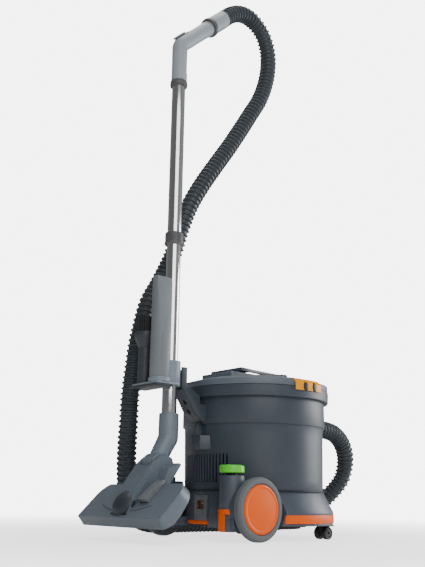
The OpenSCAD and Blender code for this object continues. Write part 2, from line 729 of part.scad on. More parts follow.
module hose() {
  n = len(path);
  points = [for (i = [0 : n - 1]) each ring_at(i)];
  faces = concat([[for (s = [0 : sides - 1]) s]],
    [for (i = [0 : n - 2]) for (s = [0 : sides - 1])
      [i * sides + s, (i + 1) * sides + s, (i + 1) * sides + (s + 1) % sides, i * sides + (s + 1) % sides]],
    [[for (s = [sides - 1 : -1 : 0]) (n - 1) * sides + s]]);
  color("darkslategray") place() polyhedron(points = points, faces = faces, convexity = 10);
}

// ---- holder and small tools ----

module crevice_at() { wand() translate([crevice_x, crevice_y, holder_z + holder_floor]) children(); }
module brush_at() { wand() translate([brush_x, brush_y, holder_z + holder_floor]) children(); }
module tool_holder() {
  color("gray") {
    difference() {
      union() {
        wand() translate([0, 0, holder_z]) cylinder(h = 54, r = holder_ring_r, $fn = fine);
        wand() box([crevice_x - 21, crevice_y - 21, holder_z], [0, brush_y + 15, holder_z + holder_floor]);
        // hook that drops over the crossbar of the rear arm
        wand() box([0, -13, rim_top + 24], [holder_ring_r + 12, 13, rim_top + 29]);
        wand() box([holder_ring_r + 7, -13, rim_top + 6], [holder_ring_r + 10, 13, rim_top + 29]);
      }
      wand() translate([0, 0, holder_z - 1]) cylinder(h = 90, r = tube_r + hold, $fn = fine);
      crevice_at() cylinder(h = 90, r = crevice_r + move_gap, $fn = fine);
      brush_at() cylinder(h = 90, r = brush_r + move_gap, $fn = fine);
    }
    crevice_at() translate([0, 0, -1]) cylinder(h = 29, r = 14.5, $fn = mid);
    brush_at() translate([0, 0, -1]) cylinder(h = 25, r = 10.5, $fn = mid);
  }
}
module crevice_tool() {
  face_z = 70;
  color("gray") crevice_at() difference() {
    cylinder(h = crevice_h, r = crevice_r, $fn = fine);
    for (s = [-1, 1]) rotate([90, 0, 90]) translate([0, 0, -50]) linear_extrude(height = 100)
      polygon([[s * crevice_r, face_z], [s * 8, crevice_h + 1], [s * 60, crevice_h + 1], [s * 60, face_z]]);
    translate([0, 0, -1]) cylinder(h = 91, r = 15, $fn = mid);
    box([-15, -4.5, 60], [15, 4.5, crevice_h + 10]);
  }
}
module brush_body() {
  color("dimgray") brush_at() difference() {
    union() {
      cylinder(h = 84, r = brush_r, $fn = fine);
      translate([0, 0, 84]) cylinder(h = 20, r1 = brush_r, r2 = brush_head_r - 3, $fn = fine);
      translate([0, 0, 104]) cylinder(h = 10, r = brush_head_r - 2, $fn = fine);
    }
    translate([0, 0, -1]) cylinder(h = 200, r = 11, $fn = mid);
    translate([0, 0, 109.9]) ring(brush_head_r - 5, brush_head_r - 9, 10);
  }
}
module brush_bristles() {
  color("black") brush_at() difference() {
    translate([0, 0, 110]) cylinder(h = 38, r1 = brush_head_r - 4, r2 = brush_head_r + 1, $fn = fine);
    translate([0, 0, 100]) cylinder(h = 60, r = brush_head_r - 9, $fn = fine);
    translate([0, 0, 104]) ring(60, brush_head_r - 5, 10.2);
  }
}

// ---- floor tool ----

module neck_frame() {
  place() translate([pivot_x, 0, pivot_z]) rotate([0, neck_lean, 0]) children();
}
module tool_neck() {
  color("gray") difference() {
    union() {
      wand() translate([0, 0, neck_z]) cylinder(h = neck_top - neck_z, r = neck_r, $fn = fine);
      wand() translate([0, 0, neck_z]) sphere(r = neck_r + 0.7, $fn = fine);
      neck_frame() cylinder(h = neck_len, r = neck_r - 1.5, $fn = fine);
      neck_frame() along_y(trunnion_r, -trunnion_w / 2, trunnion_w / 2);
    }
    wand() translate([0, 0, neck_z + 3]) cylinder(h = 100, r = tube_r + hold, $fn = fine);
    wand() translate([0, 0, neck_z]) cylinder(h = 100, r = tube_r - 4, $fn = fine);
    wand() translate([0, 0, neck_z]) sphere(r = tube_r - 3.4, $fn = fine);
    neck_frame() translate([0, 0, 16]) cylinder(h = neck_len - 16, r = tube_r - 4, $fn = fine);
    neck_frame() along_y(5 + run_gap, -50, 50, small);
  }
}
head_side = [[-head_half, 16], [-head_half + 7, 38], [head_half - 2, 22], [head_half + 2, 4],
  [head_half - 2, 0], [-8, 0], [-30, 4]];
module head_plan(inset, h) {
  w = head_w / 2 - inset;
  l = head_half + 4 - inset;
  union() {
    box([-l, -w + 14, 0], [l - 38, w - 14, h]);
    box([-l + 14, -w, 0], [l - 38, w, h]);
    box([-l, -w + 38, 0], [l, w - 38, h]);
    for (s = [-1, 1]) {
      translate([-l + 14, s * (w - 14), 0]) cylinder(h = h, r = 14, $fn = mid);
      translate([l - 38, s * (w - 38), 0]) cylinder(h = h, r = 38, $fn = fine);
    }
  }
}
// the two slots across the sole that the brush strips sit in
module brush_grooves(n0, fore, aft, inset) {
  for (g = [[0, 18], [34, 28]])
    box([g[0] - fore, -head_w / 2 + g[1] + inset, n0], [g[0] + aft, head_w / 2 - g[1] - inset, 12.5]);
}
module nozzle_base() {
  color("gray") head() difference() {
    intersection() {
      side_plate(head_side, 400);
      translate([0, 0, -10]) head_plan(0, 80);
    }
    // suction mouth, brush grooves, pedal well
    box([8, -head_w / 2 + 24, -1], [26, head_w / 2 - 24, 9]);
    box([16, -22, -1], [head_half + 40, 22, 14]);
    brush_grooves(-1, 2, 5, 0);
    box([pedal_u - 32, pedal_y - pedal_w / 2 - 0.5, 13], [90, pedal_y + pedal_w / 2 + 0.5, 60]);
    translate([pedal_u, 0, pedal_n - 3]) along_y(2.5 + run_gap, pedal_y - pedal_w / 2 - 5, pedal_y + pedal_w / 2 + 5, small);
    // room for the housing
    box([-head_half + 14, -housing_w / 2 - 0.2, 14], [head_half + 40, housing_w / 2 + 0.2, 80]);
  }
}
module nozzle_housing() {
  color("gray") head() difference() {
    union() {
      side_plate([[-head_half + 14.2, 14], [-head_half + 14.2, 40], [-head_half + 23, 47], [14, 49],
        [head_half + 30, 47], [head_half + 50, 42], [head_half + 64, 30], [head_half + 68, 14],
        [head_half + 62, 4], [head_half + 8, 4], [head_half + 8, 14]], housing_w);
      for (s = [-1, 1]) translate([head_half, s * (housing_w / 2 + 13.2), 0])
        side_plate([[4, 3], [6, 20], [34, 24], [58, 10], [60, 3]], 27);
    }
    // the neck swings in this opening
    translate([pivot_u, 0, pivot_n]) {
      along_y(trunnion_r + move_gap, -neck_gap / 2, neck_gap / 2);
      side_plate([[0, 0], [-trunnion_r, 6], [3 - trunnion_r, 60], [60, 60], [60, -26], [0, -trunnion_r]], neck_gap);
      along_y(5, -26, 26, small);
    }
    box([18, -20, 10], [head_half + 40, 20, 30]);
  }
}
module neck_pin() {
  color("silver") head() translate([pivot_u, 0, pivot_n]) along_y(5, -26, 26, small);
}
module sole_plate() {
  color("silver") head() difference() {
    intersection() {
      box([-7, -head_w / 2 + 8, -1.5], [47, head_w / 2 - 8, 0]);
      translate([0, 0, -10]) head_plan(6, 80);
    }
    box([8, -head_w / 2 + 24, -3], [26, head_w / 2 - 24, 9]);
    brush_grooves(-3, 2, 5, 0);
  }
}
module sole_brush() {
  color("black") head() intersection() {
    brush_grooves(-1, 0.5, 3.5, 2);
    box([-100, -300, -5], [100, 300, 7]);
  }
}
module pedal() {
  color("gray") head() {
    side_plate_at(pedal_y, [[pedal_u - 30, pedal_n], [pedal_u - 30, pedal_n + 17], [pedal_u - 4, pedal_n + 12],
      [pedal_u + 24, pedal_n + 5], [pedal_u + 26, pedal_n], [pedal_u + 6, pedal_n - 7],
      [pedal_u - 6, pedal_n - 7]], pedal_w);
    translate([pedal_u, 0, pedal_n - 3]) along_y(2.5, pedal_y - pedal_w / 2 - 4, pedal_y + pedal_w / 2 + 4, small);
  }
}

chassis();
bumper_strip();
base_plate();
chassis_screws();
drum();
drum_rim();
inlet_port();
inlet_cuff();
park_arm();
park_block();
mains_inlet();
mains_pins();
pod_right();
pod_left();
rear_axle();
motor_housing();
motor_body();
impeller();
filter_plate();
motor_filter();
dust_bag();
bag_collar();
lid();
lid_seal();
carry_handle();
latch_right();
latch_left();
foot_button_right();
foot_button_left();
tyre_right();
hub_right();
tyre_left();
hub_left();
caster_hood_right();
caster_wheels_right();
caster_hood_left();
caster_wheels_left();
lower_tube();
upper_tube();
tube_collar();
tube_button();
handle_grip();
handle_ring();
handle_button();
suction_slider();
hose_cuff();
hose();
tool_holder();
crevice_tool();
brush_body();
brush_bristles();
tool_neck();
nozzle_base();
nozzle_housing();
neck_pin();
sole_plate();
sole_brush();
pedal();
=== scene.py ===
import math
import random

import bmesh
import bpy
from mathutils import Matrix, Vector


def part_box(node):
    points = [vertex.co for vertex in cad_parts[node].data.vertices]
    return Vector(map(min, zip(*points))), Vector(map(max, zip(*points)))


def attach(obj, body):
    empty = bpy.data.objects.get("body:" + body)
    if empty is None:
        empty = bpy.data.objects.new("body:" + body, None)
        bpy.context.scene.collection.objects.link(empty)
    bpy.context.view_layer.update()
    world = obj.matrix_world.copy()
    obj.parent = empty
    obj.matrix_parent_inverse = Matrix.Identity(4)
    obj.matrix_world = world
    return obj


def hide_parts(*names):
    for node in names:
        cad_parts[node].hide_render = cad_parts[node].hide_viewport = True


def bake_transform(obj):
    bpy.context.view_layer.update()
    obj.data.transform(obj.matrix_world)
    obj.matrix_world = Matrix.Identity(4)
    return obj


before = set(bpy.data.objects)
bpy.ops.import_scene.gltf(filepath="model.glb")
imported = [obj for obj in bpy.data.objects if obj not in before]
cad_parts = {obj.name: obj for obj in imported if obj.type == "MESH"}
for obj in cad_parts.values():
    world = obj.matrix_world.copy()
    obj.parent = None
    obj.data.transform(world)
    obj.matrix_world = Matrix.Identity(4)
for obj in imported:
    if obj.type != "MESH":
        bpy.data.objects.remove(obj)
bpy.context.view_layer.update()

# ---- camera ----
# It stands a hand's width above the floor behind the near rear wheel and looks
# up along the drum, so that the whole wand and the top of the hose are in view.
yaw, pitch, roll = (math.radians(a) for a in (48.5, 16.21, -0.83))
ahead = Vector((math.cos(yaw) * math.cos(pitch), math.sin(yaw) * math.cos(pitch), math.sin(pitch)))
level = Vector((math.sin(yaw), -math.cos(yaw), 0))
across = level * math.cos(roll) - level.cross(ahead) * math.sin(roll)
camera = bpy.data.objects.new("camera", bpy.data.cameras.new("camera"))
camera.data.lens = 46.88
camera.matrix_world = Matrix((across, across.cross(ahead), -ahead)).transposed().to_4x4()
camera.location = (-1.1491, -1.2441, 0.0835)
bpy.context.scene.collection.objects.link(camera)
bpy.context.scene.camera = camera

# ---- finishes shared by the moulded pieces ----
# Each is a small node group: the spark-eroded grain of the mould, lighter edges,
# partly the rubbed look of edges that are handled and partly a painted highlight, and the floor dust that low pieces
# pick up.


def put(tree, kind, sockets=(), **settings):
    """Adds a node. Sockets are given a value, or another node's socket to link."""
    node = tree.nodes.new("ShaderNode" + kind)
    for name, value in settings.items():
        setattr(node, name, value)
    for name, value in dict(sockets).items():
        if isinstance(value, bpy.types.NodeSocket):
            tree.links.new(value, node.inputs[name])
        else:
            node.inputs[name].default_value = value
    return node


def effect(name, takes, gives):
    """An empty node group with float sockets, and its input and output nodes."""
    tree = bpy.data.node_groups.new(name, "ShaderNodeTree")
    for socket in takes:
        tree.interface.new_socket(socket, in_out="INPUT", socket_type="NodeSocketFloat")
    for socket in gives:
        tree.interface.new_socket(socket, in_out="OUTPUT", socket_type="NodeSocketFloat")
    return tree, tree.nodes.new("NodeGroupInput").outputs, tree.nodes.new("NodeGroupOutput").inputs


mould_grain, given, result = effect("mould_grain", ["Fineness"], ["Height", "Patch"])
where = put(mould_grain, "TexCoord").outputs["Object"]
stipple = put(mould_grain, "TexNoise", {"Vector": where, "Scale": given["Fineness"], "Detail": 3.0})
cloudy = put(mould_grain, "TexNoise", {"Vector": where, "Scale": 11.0, "Detail": 4.0, "Roughness": 0.6})
mould_grain.links.new(stipple.outputs["Fac"], result["Height"])
mould_grain.links.new(cloudy.outputs["Fac"], result["Patch"])

edge_wear_and_highlight, given, result = effect("edge_wear_and_highlight", ["Amount"], ["Mask"])
where = put(edge_wear_and_highlight, "TexCoord").outputs["Object"]
# Lighter on sharp crests: partly rubbed wear, partly a painted edge highlight.
crest = put(edge_wear_and_highlight, "MapRange", {
    "Value": put(edge_wear_and_highlight, "NewGeometry").outputs["Pointiness"],
    "From Min": 0.53, "From Max": 0.62}).outputs["Result"]
broken = put(edge_wear_and_highlight, "TexNoise", {"Vector": where, "Scale": 60.0, "Detail": 5.0}).outputs["Fac"]
worn_and_lit = put(edge_wear_and_highlight, "Math", {0: crest, 1: broken}, operation="MULTIPLY").outputs[0]
worn_and_lit = put(edge_wear_and_highlight, "Math", {0: worn_and_lit, 1: given["Amount"]}, operation="MULTIPLY").outputs[0]
edge_wear_and_highlight.links.new(worn_and_lit, result["Mask"])

floor_dust, given, result = effect("floor_dust", ["Reach", "Amount"], ["Mask"])
where = put(floor_dust, "TexCoord").outputs["Object"]
height = put(floor_dust, "SeparateXYZ", {"Vector": where}).outputs["Z"]
low = put(floor_dust, "MapRange", {
    "Value": height, "From Min": 0.0, "From Max": given["Reach"], "To Min": 1.0, "To Max": 0.0},
    interpolation_type="SMOOTHSTEP").outputs["Result"]
specks = put(floor_dust, "TexNoise", {"Vector": where, "Scale": 240.0, "Detail": 6.0}).outputs["Fac"]
specks = put(floor_dust, "MapRange", {"Value": specks, "From Min": 0.42, "From Max": 0.7}).outputs["Result"]
settled = put(floor_dust, "Math", {0: low, 1: specks}, operation="MULTIPLY").outputs[0]
settled = put(floor_dust, "Math", {0: settled, 1: given["Amount"]}, operation="MULTIPLY").outputs[0]
floor_dust.links.new(settled, result["Mask"])

fine_scratches, given, result = effect("fine_scratches", ["Along", "Around"], ["Height", "Smear"])
where = put(fine_scratches, "TexCoord").outputs["Object"]
stretch = put(fine_scratches, "CombineXYZ", {"X": given["Around"], "Y": given["Around"], "Z": given["Along"]})
drawn = put(fine_scratches, "VectorMath", {0: where, 1: stretch.outputs[0]}, operation="MULTIPLY").outputs[0]
lines = put(fine_scratches, "TexNoise", {"Vector": drawn, "Scale": 1.0, "Detail": 5.0}).outputs["Fac"]
smear = put(fine_scratches, "TexNoise", {"Vector": where, "Scale": 18.0, "Detail": 3.0}).outputs["Fac"]
fine_scratches.links.new(lines, result["Height"])
fine_scratches.links.new(smear, result["Smear"])


def paint(red, green, blue):
    """A screen colour, 0 to 255, as the linear colour that a shader takes."""
    return [(v / 12.92 if v < 0.04 else ((v + 0.055) / 1.055) ** 2.4)
            for v in (red / 255, green / 255, blue / 255)] + [1.0]


def blended(tree, first, second, share):
    return put(tree, "Mix", {0: share, 6: first, 7: second}, data_type="RGBA").outputs[2]


def moulded(name, colour, rough=0.42, fineness=1500.0, relief=0.12, rub_and_highlight=0.3, dust=0.0, reach=0.12,
            coat=0.0, specular=0.5):
    """Injection-moulded plastic: slight unevenness of colour, fine grain, lighter edges, partly rubbed wear and partly
    a painted highlight.
    """
    made = bpy.data.materials.new(name)
    made.use_nodes = True
    tree = made.node_tree
    shader = tree.nodes["Principled BSDF"]
    grain = put(tree, "Group", node_tree=mould_grain)
    grain.inputs["Fineness"].default_value = fineness
    edge = put(tree, "Group", node_tree=edge_wear_and_highlight)
    edge.inputs["Amount"].default_value = rub_and_highlight
    darker = [c * 0.9 for c in colour[:3]] + [1.0]
    lighter = [min(1.0, c * 1.08 + 0.002) for c in colour[:3]] + [1.0]
    tone = blended(tree, darker, lighter, grain.outputs["Patch"])
    # Edges lightened in the base colour: partly rubbed wear, partly a painted highlight.
    tone = blended(tree, tone, [min(1.0, c * 1.5 + 0.05) for c in colour[:3]] + [1.0], edge.outputs["Mask"])
    if dust:
        dusty = put(tree, "Group", node_tree=floor_dust)
        dusty.inputs["Reach"].default_value = reach
        dusty.inputs["Amount"].default_value = dust
        tone = blended(tree, tone, paint(168, 166, 160), dusty.outputs["Mask"])
    tree.links.new(tone, shader.inputs["Base Color"])
    gloss = put(tree, "MapRange", {"Value": grain.outputs["Patch"], "To Min": rough - 0.07, "To Max": rough + 0.07})
    tree.links.new(gloss.outputs["Result"], shader.inputs["Roughness"])
    bump = put(tree, "Bump", {"Height": grain.outputs["Height"], "Strength": relief, "Distance": 0.0004})
    tree.links.new(bump.outputs["Normal"], shader.inputs["Normal"])
    shader.inputs["Specular IOR Level"].default_value = specular
    shader.inputs["Coat Weight"].default_value = coat
    shader.inputs["Coat Roughness"].default_value = 0.15
    return made


def metal(name, colour, rough, along=30.0, around=2600.0, relief=0.02):
    """Drawn or turned metal with faint lines in it and a slight smear in its shine."""
    made = bpy.data.materials.new(name)
    made.use_nodes = True
    tree = made.node_tree
    shader = tree.nodes["Principled BSDF"]
    marks = put(tree, "Group", node_tree=fine_scratches)
    marks.inputs["Along"].default_value = along
    marks.inputs["Around"].default_value = around
    darker = [c * 0.94 for c in colour[:3]] + [1.0]
    tree.links.new(blended(tree, darker, colour, marks.outputs["Smear"]), shader.inputs["Base Color"])
    gloss = put(tree, "MapRange", {"Value": marks.outputs["Smear"], "To Min": rough * 0.9, "To Max": rough * 1.1})
    tree.links.new(gloss.outputs["Result"], shader.inputs["Roughness"])
    bump = put(tree, "Bump", {"Height": marks.outputs["Height"], "Strength": relief, "Distance": 0.0001})
    tree.links.new(bump.outputs["Normal"], shader.inputs["Normal"])
    shader.inputs["Metallic"].default_value = 1.0
    return made


# ---- ways of shaping a piece ----
# Turned pieces are lathe profiles, pressed ones are blocks, and the pieces with
# cut-outs start from the frame's own solids, with their edges rounded over.


def eased(profile, steps=5):
    """A profile with its corners rounded: a point is (radius, height) or (radius, height, fillet)."""
    points = []
    for i, corner in enumerate(profile):
        here = Vector(corner[:2])
        if len(corner) < 3:
            points.append(here)
            continue
        back = Vector(profile[i - 1][:2]) - here
        on = Vector(profile[(i + 1) % len(profile)][:2]) - here
        reach = min(corner[2] / math.tan(back.angle(on) / 2), back.length * 0.48, on.length * 0.48)
        start, end = here + back.normalized() * reach, here + on.normalized() * reach
        for s in range(steps + 1):
            t = s / steps
            points.append(start * (1 - t) ** 2 + here * 2 * t * (1 - t) + end * t * t)
    return points


def turned(profile, centre, turn=Matrix(), steps=96, hoop=False, part=2 * math.pi):
    """Spins a profile in millimetres round its height axis, then turns and places it. A hoop is closed on itself."""
    bm = bmesh.new()
    corners = [bm.verts.new((p.x / 1000, 0, p.y / 1000)) for p in eased(profile)]
    edges = [bm.edges.new(pair) for pair in zip(corners, corners[1:])]
    if hoop:
        edges.append(bm.edges.new((corners[-1], corners[0])))
    bmesh.ops.spin(bm, geom=corners + edges, axis=(0, 0, 1), cent=(0, 0, 0), angle=part,
                   steps=steps, use_merge=part > 6.2)
    bmesh.ops.remove_doubles(bm, verts=bm.verts, dist=2e-6)
    bmesh.ops.recalc_face_normals(bm, faces=bm.faces)
    bm.transform(Matrix.Translation(centre) @ turn)
    return bm


def block(low, high, round_off=0.001, steps=3):
    """A box between two corners with rounded edges."""
    bm = bmesh.new()
    low, high = Vector(low), Vector(high)
    bmesh.ops.create_cube(bm, size=1.0)
    bmesh.ops.scale(bm, vec=high - low, verts=bm.verts)
    bmesh.ops.translate(bm, vec=(low + high) / 2, verts=bm.verts)
    bmesh.ops.bevel(bm, geom=bm.edges[:], offset=round_off, segments=steps, profile=0.5,
                    affect="EDGES", clamp_overlap=True, material=-1)
    return bm


def solid_of(node, round_off=0.0, steps=2, sharp=32.0, flat=0.4):
    """A copy of a frame solid as one closed shell, with its sharp edges rounded over."""
    bm = bmesh.new()
    bm.from_mesh(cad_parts[node].data)
    bmesh.ops.remove_doubles(bm, verts=bm.verts, dist=4e-6)
    bmesh.ops.dissolve_degenerate(bm, edges=bm.edges, dist=2e-6)
    bmesh.ops.dissolve_limit(bm, angle_limit=math.radians(flat), verts=bm.verts, edges=bm.edges)
    if round_off:
        keen = [e for e in bm.edges if len(e.link_faces) == 2 and e.calc_face_angle(0) > math.radians(sharp)]
        bmesh.ops.bevel(bm, geom=keen, offset=round_off, segments=steps, profile=0.5,
                        affect="EDGES", clamp_overlap=True, material=-1)
    return bm


def finished(bm, name, body, material, nodes=(), crease=40.0):
    """Turns a bmesh into a smooth-shaded piece that rides on its body and stands for its solids."""
    mesh = bpy.data.meshes.new(name)
    bm.to_mesh(mesh)
    bm.free()
    mesh.materials.append(material)
    mesh.shade_smooth()
    mesh.set_sharp_from_angle(angle=math.radians(crease))
    piece = bpy.data.objects.new(name, mesh)
    bpy.context.scene.collection.objects.link(piece)
    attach(piece, body)
    if nodes:
        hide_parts(*nodes)
    return piece


# ---- hose ----
# A ribbed stretch hose of dark plastic. It leaves the front inlet, drops to the
# floor, lies round the far side, climbs behind the wand and enters the handle.
drum_axis = sum((Vector((box.x, box.y, 0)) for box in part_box("drum_rim")), Vector()) / 2
hose_route = [
    (205.5, 0, 253), (235, 0, 255), (268, 2, 254), (303, 6, 247), (338, 12, 227), (359, 18, 196),
    (367, 28, 165), (366, 40, 135), (354, 62, 104), (330, 90, 72), (290, 125, 42), (235, 162, 26),
    (170, 200, 23.5), (100, 226, 23.5), (20, 238, 23.5), (-60, 238, 23.5), (-130, 228, 27),
    (-185, 208, 48), (-218, 186, 90), (-238, 166, 140), (-252, 148, 190), (-262, 132, 242),
    (-268, 122, 300), (-267, 114, 365), (-262, 108, 430), (-246, 100, 512), (-218, 94, 570),
    (-192, 84, 636), (-182, 64, 708), (-166, 50, 770), (-137, 40, 830), (-98, 34, 893),
    (-50, 28, 968), (9, 20, 1069), (42, 14, 1130), (62, 8, 1200), (62, 3, 1266), (40, 0, 1316),
    (0, 0, 1345), (-42, 0, 1346), (-80, 0, 1326), (-110.4, 0, 1296.1)]
route = [drum_axis + Vector(p) / 1000 for p in hose_route]
grip_slope = math.radians(45.5)
hose_line = []
for i in range(len(route) - 1):
    a, b, c, d = (route[max(0, min(len(route) - 1, i + k))] for k in (-1, 0, 1, 2))
    for t in (s / 20 for s in range(20)):
        hose_line.append((b * 2 + (c - a) * t + (a * 2 - b * 5 + c * 4 - d) * t ** 2
                          + (b * 3 - a - c * 3 + d) * t ** 3) / 2)
hose_line.append(route[-1])
reached = [0.0]
for a, b in zip(hose_line, hose_line[1:]):
    reached.append(reached[-1] + (b - a).length)
hose_length = reached[-1]
hose_leads = [(b - a).normalized() for a, b in zip(hose_line, hose_line[1:])]
hose_leads.append(Vector((-math.cos(grip_slope), 0, -math.sin(grip_slope))))
hose_leads[0] = Vector((1, 0, 0))
carried = [Vector((0, 0, 1))]
for lead in hose_leads[1:]:
    carried.append((carried[-1] - lead * carried[-1].dot(lead)).normalized())

hose_radius, core_radius, rib_pitch = 22.4, 18.8, 12.0
rib = [(0.0, core_radius), (3.6, core_radius), (5.0, 21.0), (5.7, 22.1), (6.5, hose_radius), (7.6, hose_radius),
       (8.3, 22.1), (9.0, 21.0), (10.4, core_radius)]
rib_count = int(hose_length * 1000 / rib_pitch)
rib_pitch = hose_length * 1000 / rib_count
hose_profile = [(r, k * rib_pitch + s) for k in range(rib_count) for s, r in rib]
hose_profile.append((core_radius, hose_length * 1000))
ribbed = turned(hose_profile, (0, 0, 0), steps=28)
span = 0
for v in sorted(ribbed.verts, key=lambda v: v.co.z):
    while span < len(reached) - 2 and reached[span + 1] < v.co.z:
        span += 1
    t = min(1.0, (v.co.z - reached[span]) / (reached[span + 1] - reached[span]))
    centre = hose_line[span].lerp(hose_line[span + 1], t)
    lead = hose_leads[span].lerp(hose_leads[span + 1], t).normalized()
    out = carried[span].lerp(carried[span + 1], t)
    out = (out - lead * out.dot(lead)).normalized()
    v.co = centre + out * v.co.x + lead.cross(out) * v.co.y
bmesh.ops.holes_fill(ribbed, edges=[e for e in ribbed.edges if e.is_boundary], sides=0)
bmesh.ops.recalc_face_normals(ribbed, faces=ribbed.faces)
hose_plastic = moulded("hose_plastic", paint(52, 59, 65), rough=0.46, relief=0.02, rub_and_highlight=0.15, specular=0.45)
mesh = bpy.data.meshes.new("ribbed_hose")
ribbed.to_mesh(mesh)
ribbed.free()
mesh.materials.append(hose_plastic)
mesh.shade_smooth()
mesh.set_sharp_from_angle(angle=math.radians(50))
hose = bpy.data.objects.new("ribbed_hose", mesh)
bpy.context.scene.collection.objects.link(hose)
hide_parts("hose")
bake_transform(hose)

# ---- chassis, base and bumper strip ----
# The chassis is one grey moulding with a flared skirt, wheel covers and ledges
# for the pods. A bright orange strip is snapped into a groove all round it.
drum_plastic = moulded("drum_plastic", paint(58, 67, 78), rough=0.44, dust=0.10, reach=0.06)
skirt_plastic = moulded("skirt_plastic", paint(70, 79, 91), rough=0.42, dust=0.12, reach=0.07)
dark_plastic = moulded("dark_plastic", paint(46, 53, 61), rough=0.5, dust=0.12, reach=0.07)
black_plastic = moulded("black_plastic", paint(24, 26, 29), rough=0.5, dust=0.14, reach=0.05)
orange_plastic = moulded("orange_plastic", paint(255, 100, 6), rough=0.4, rub_and_highlight=0.05, specular=0.2)
finished(solid_of("chassis", 0.0012), "chassis_moulding", "canister", skirt_plastic, ["chassis"])
finished(solid_of("bumper_strip", 0.0004), "bumper_strip_inlay", "canister", orange_plastic,
         ["bumper_strip"])
finished(solid_of("base_plate", 0.0005), "base_cover", "canister", black_plastic, ["base_plate"])

# ---- drum and rim ----
# The drum wall steps out near the top and is slotted at the rear for the motor's
# exhaust. A separate rim band closes its upper edge.
finished(solid_of("drum", 0.0005, flat=0.02), "drum_shell", "canister", drum_plastic, ["drum"])
rim_low, rim_high = (corner.z * 1000 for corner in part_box("drum_rim"))
finished(turned([(164.6, rim_low, 0.5), (174.0, rim_low, 2.2), (175.0, rim_high, 1.8), (160.6, rim_high, 0.4),
                 (160.6, rim_high - 2, 0.3), (164.6, rim_high - 2, 0.3)], drum_axis, hoop=True, steps=144),
         "rim_band", "canister", drum_plastic, ["drum_rim"])

finished(turned([(157.5, 98.8), (160.5, 98.8, 0.3), (160.5, 100.8, 0.3), (157.5, 100.8)], drum_axis, hoop=True,
                steps=144), "drum_foot_seam", "canister", black_plastic)

# ---- inlet, rear arm and mains socket ----
# The hose plugs into a short port at the front. At the rear a two-cheeked arm
# with a crossbar carries the wand, above a block that steadies it.
finished(solid_of("inlet_port", 0.8 / 1000), "inlet_port_moulding", "canister", drum_plastic,
         ["inlet_port"])
inlet = drum_axis + Vector((0, 0, 0.253))
along_x = Matrix.Rotation(math.radians(90), 4, "Y")
finished(turned([(22.9, 156), (22.9, 185.5), (25, 185.6, 1.5), (25.6, 190, 1), (24.4, 192, 0.8), (25.6, 194, 0.8),
                 (24.4, 196, 0.8), (25.6, 198, 0.8), (24.6, 205.4, 2), (18, 205.4), (18, 156)],
                inlet, along_x, hoop=True), "inlet_cuff_sleeve", "canister", dark_plastic,
         ["inlet_cuff"])
arm_plastic = moulded("arm_plastic", paint(60, 68, 77), rough=0.44)
finished(solid_of("park_arm", 0.0008), "park_arm_moulding", "canister", arm_plastic, ["park_arm"])
finished(solid_of("park_block", 0.0012), "park_block_moulding", "canister", arm_plastic,
         ["park_block"])
panel_plastic = moulded("panel_plastic", paint(96, 102, 108), rough=0.5, dust=0.08)
finished(solid_of("mains_inlet", 0.0006), "mains_panel", "canister", panel_plastic,
         ["mains_inlet"])
panel_low, panel_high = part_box("mains_inlet")
socket_lining = moulded("socket_lining", paint(120, 62, 34), rough=0.55, rub_and_highlight=0.0)
for k, (y, z, half_y, half_z) in enumerate([(-10.6, 70, 0.35, 9), (10.6, 70, 0.35, 9), (0, 61.4, 10.9, 0.35),
                                            (0, 78.6, 10.9, 0.35)]):
    finished(block((panel_low.x + 0.0002, (y - half_y) / 1000, (z - half_z) / 1000),
                   (panel_high.x - 0.0036, (y + half_y) / 1000, (z + half_z) / 1000), 0.0001),
             f"socket_lining_{k + 1}", "canister", socket_lining)

# ---- pods and foot buttons ----
# Upright barrels beside the rear wheels, each with a sprung button on top that
# a foot presses: green on the near side for the power, orange on the far side.
pod_plastic = moulded("pod_plastic", paint(72, 80, 90), rough=0.44, dust=0.12, reach=0.06)
green_plastic = moulded("green_plastic", paint(96, 222, 46), rough=0.3, rub_and_highlight=0.1, specular=0.5, coat=0.15)
for side, far, button_plastic, slot in (("right", 1, green_plastic, "green_plastic"),
                                        ("left", -1, orange_plastic, "orange_plastic")):
    finished(solid_of(f"pod_{side}", 0.001), f"pod_barrel_{side}", "canister", pod_plastic,
             [f"pod_{side}"])
    low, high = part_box(f"foot_button_{side}")
    band = turned([(25.4, 20), (26.5, 20, 0.4), (26.5, 54, 0.4), (25.4, 54)], (0, 0, 0), hoop=True, steps=16,
                  part=math.radians(56))
    bmesh.ops.holes_fill(band, edges=[e for e in band.edges if e.is_boundary], sides=0)
    bmesh.ops.rotate(band, verts=band.verts, matrix=Matrix.Rotation(math.radians(140 if far == 1 else 164), 3, "Z"))
    bmesh.ops.translate(band, verts=band.verts, vec=((low.x + high.x) / 2, (low.y + high.y) / 2, 0))
    bmesh.ops.recalc_face_normals(band, faces=band.faces)
    finished(band, f"pod_band_{side}", "canister", orange_plastic)
    top = high.z * 1000
    finished(turned([(0, top), (21, top - 0.3, 5), (26, top - 2.2, 3.5), (26, top - 15.6, 1), (24.6, top - 16, 0.5),
                     (0, top - 16)], Vector(((low.x + high.x) / 2, (low.y + high.y) / 2, 0))),
             f"foot_button_cap_{side}", f"foot_button_{side}", button_plastic, [f"foot_button_{side}"])
    # A black stem under the cap: painted shade, so that the gap between the cap and the pod reads dark.
    finished(turned([(0, top - 15), (12, top - 15), (12, top - 47, 0.5), (0, top - 47)],
                    Vector(((low.x + high.x) / 2, (low.y + high.y) / 2, 0))),
             f"foot_button_shade_stem_{side}", f"foot_button_{side}", black_plastic)

